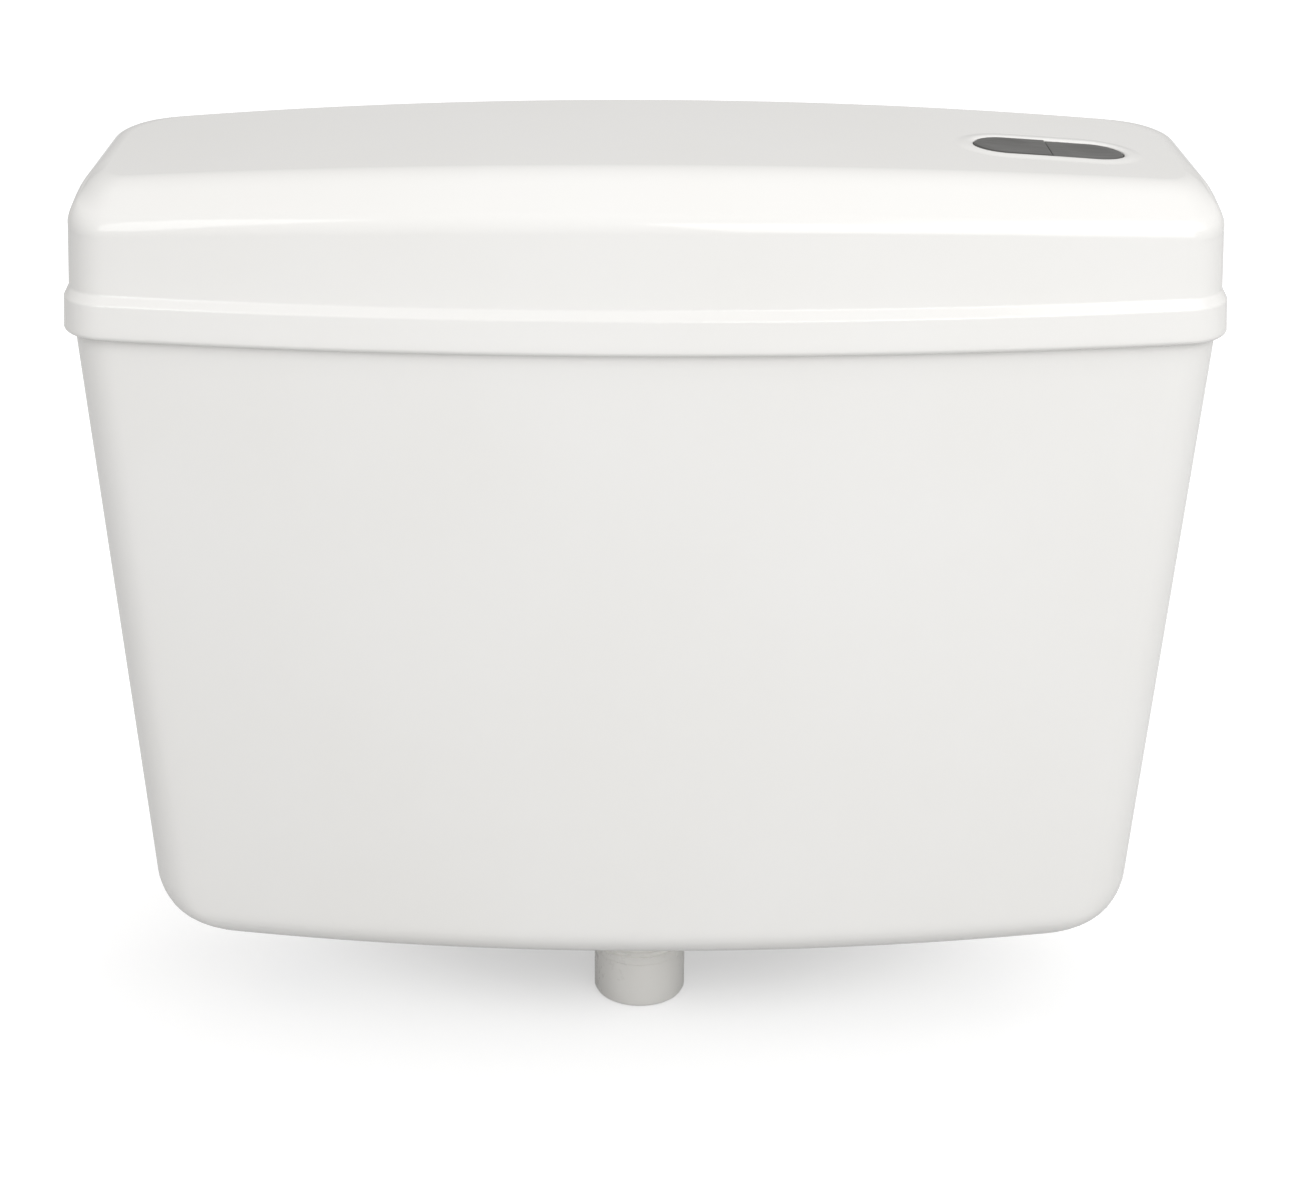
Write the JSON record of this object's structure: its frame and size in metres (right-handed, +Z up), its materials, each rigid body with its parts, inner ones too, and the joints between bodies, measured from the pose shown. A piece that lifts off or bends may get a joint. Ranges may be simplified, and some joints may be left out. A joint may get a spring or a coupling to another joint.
{
  "type": "toilet cistern",
  "caption": "Slim wall-hung toilet cistern with a bowed tank, a loose crowned lid, paired flush keys, a lever-lifted flush valve and a float fill valve.",
  "frame": {"origin": "midway between the two wall fixings, on the plane of the tank's back", "axes": "+Z up, +X to the right seen from the front, +Y into the wall"},
  "size_m": [0.45, 0.15, 0.385],
  "materials": {
    "white_plastic": "moulded gloss white",
    "inner_white": "satin white moulding",
    "key_grey": "satin dark grey moulding",
    "valve_blue": "satin blue moulding",
    "rubber": "soft black rubber",
    "stainless": "stainless steel"
  },
  "bodies": {
    "tank": {"tank": "white_plastic", "lever_bridge": "inner_white", "lever_pin": "stainless", "valve_base": "white_plastic", "base_gasket": "rubber", "outlet_washer": "rubber", "outlet_nut": "inner_white", "valve_tower": "valve_blue", "fill_riser": "inner_white", "riser_gasket": "rubber", "inlet_washer": "rubber", "inlet_nut": "inner_white", "inlet_filter": "valve_blue", "fill_head": "inner_white", "diaphragm": "rubber", "head_cap": "valve_blue", "arm_pin": "stainless", "outflow_tube": "inner_white"},
    "lid": {"lid": "white_plastic", "key_guide": "white_plastic", "full_key_spring": "stainless", "half_key_spring": "stainless"},
    "full_key": {"full_flush_key": "key_grey", "full_push_rod": "inner_white"},
    "half_key": {"half_flush_key": "key_grey", "half_push_rod": "inner_white"},
    "full_lever": {"full_lever": "valve_blue"},
    "half_lever": {"half_lever": "valve_blue"},
    "lift_sleeve": {"lift_sleeve": "key_grey"},
    "plunger": {"overflow_tube": "inner_white", "lift_collar": "inner_white", "flush_seal": "rubber", "seal_retainer": "key_grey", "control_float": "inner_white"},
    "float_arm": {"float_arm": "valve_blue", "float_screw": "inner_white", "float_cup": "inner_white"},
    "valve_pin": {"valve_pin": "stainless"}
  },
  "joints": [
    {"name": "lid_lift", "type": "slide", "parent": "tank", "child": "lid", "axis": [0, 0, 1], "range_m": [0, 0.16]},
    {"name": "full_key_press", "type": "slide", "parent": "lid", "child": "full_key", "axis": [0, 0, -1], "range_m": [0, 0.0075], "stiffness_N_per_m": 300, "springref_m": -0.006, "deforming": ["full_key_spring"]},
    {"name": "half_key_press", "type": "slide", "parent": "lid", "child": "half_key", "axis": [0, 0, -1], "range_m": [0, 0.0075], "stiffness_N_per_m": 300, "springref_m": -0.006, "deforming": ["half_key_spring"]},
    {"name": "full_lever_turn", "type": "hinge", "parent": "tank", "child": "full_lever", "pos_m": [0.106, -0.0656, -0.0469], "axis": [0, 1, 0], "range_deg": [0, 10.4]},
    {"name": "half_lever_turn", "type": "hinge", "parent": "tank", "child": "half_lever", "pos_m": [0.106, -0.0656, -0.0469], "axis": [0, 1, 0], "range_deg": [0, 6.6]},
    {"name": "sleeve_lift", "type": "slide", "parent": "tank", "child": "lift_sleeve", "axis": [0, 0, 1], "range_m": [0, 0.0194]},
    {"name": "plunger_lift", "type": "slide", "parent": "lift_sleeve", "child": "plunger", "axis": [0, 0, 1], "range_m": [0, 0.0121]},
    {"name": "float_swing", "type": "hinge", "parent": "tank", "child": "float_arm", "pos_m": [-0.14, -0.06, -0.033], "axis": [0, -1, 0], "range_deg": [0, 24]},
    {"name": "pin_press", "type": "slide", "parent": "tank", "child": "valve_pin", "axis": [0, 0, -1], "range_m": [0, 0.0043]}
  ],
  "couplings": [
    {"joint": "full_lever_turn", "follows": "full_key_press", "rad_per_m": 24.096},
    {"joint": "sleeve_lift", "follows": "full_key_press", "ratio": 2.58},
    {"joint": "half_lever_turn", "follows": "half_key_press", "rad_per_m": 15.267},
    {"joint": "plunger_lift", "follows": "half_key_press", "ratio": 1.6},
    {"joint": "pin_press", "follows": "float_swing", "m_per_rad": 0.0099}
  ]
}
